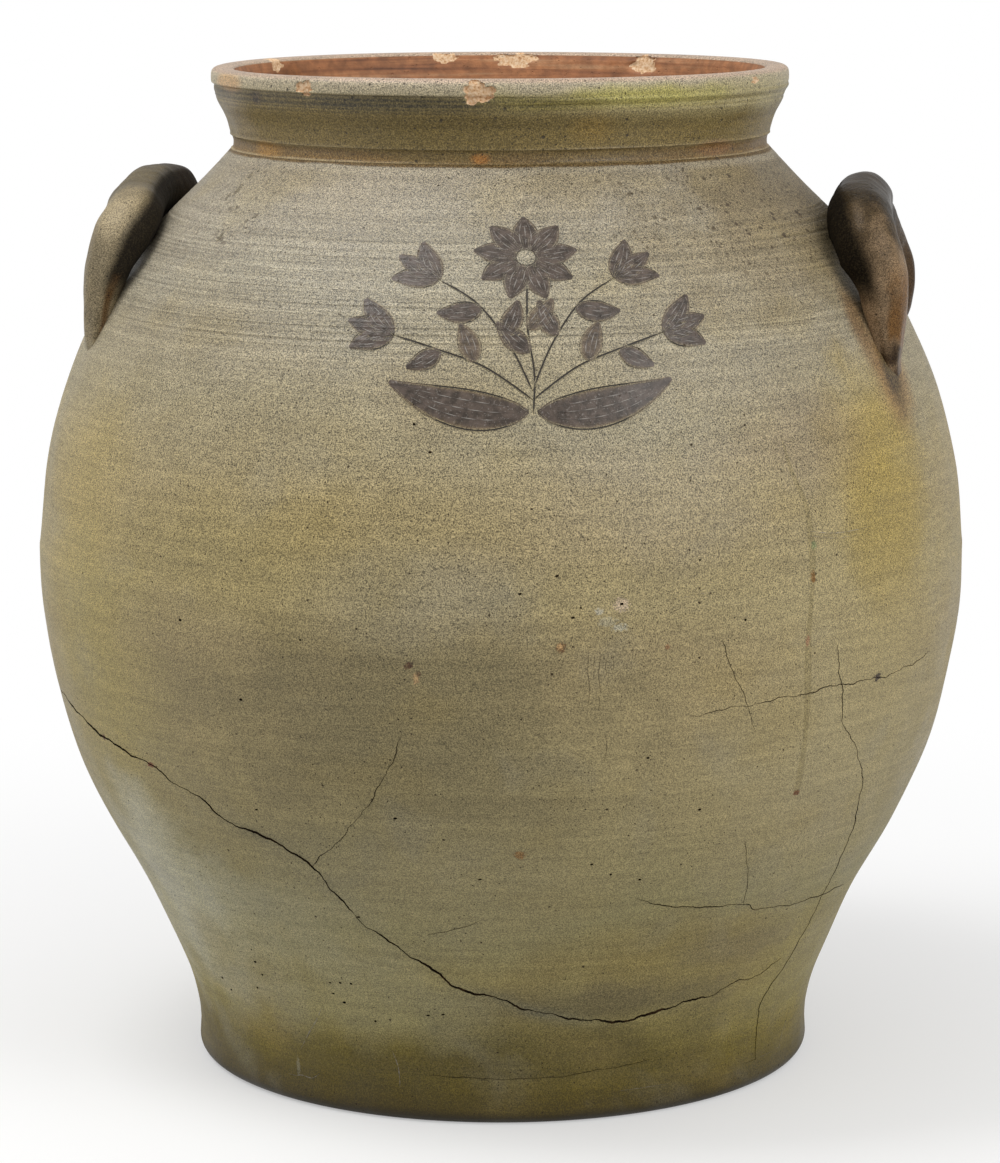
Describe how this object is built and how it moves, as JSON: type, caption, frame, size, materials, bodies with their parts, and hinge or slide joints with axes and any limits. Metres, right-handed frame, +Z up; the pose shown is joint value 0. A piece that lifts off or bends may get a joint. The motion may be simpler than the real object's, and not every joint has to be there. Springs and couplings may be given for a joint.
{
  "type": "stoneware crock",
  "caption": "Ovoid salt-glazed stoneware storage crock with a wide open mouth, a flared collar with a rounded lip, and open loop handles on the shoulder.",
  "frame": {"origin": "on the turning axis, in the plane that the foot rests on", "axes": "+Z up along the turning axis, +X towards the right handle, -Y towards the decorated front"},
  "size_m": [0.3324, 0.3324, 0.356],
  "materials": {
    "lower_body": "mottled olive-grey salt glaze with dark pits, satin",
    "upper_body": "mottled olive-grey salt glaze with dark pits, satin",
    "collar": "brown-olive salt glaze with green runs, satin",
    "left_handle": "grey-olive salt glaze, satin",
    "right_handle": "dark brown glaze, semi-gloss"
  },
  "bodies": {
    "root": {"lower_body": "lower_body", "upper_body": "upper_body", "collar": "collar", "left_handle": "left_handle", "right_handle": "right_handle"}
  },
  "joints": []
}
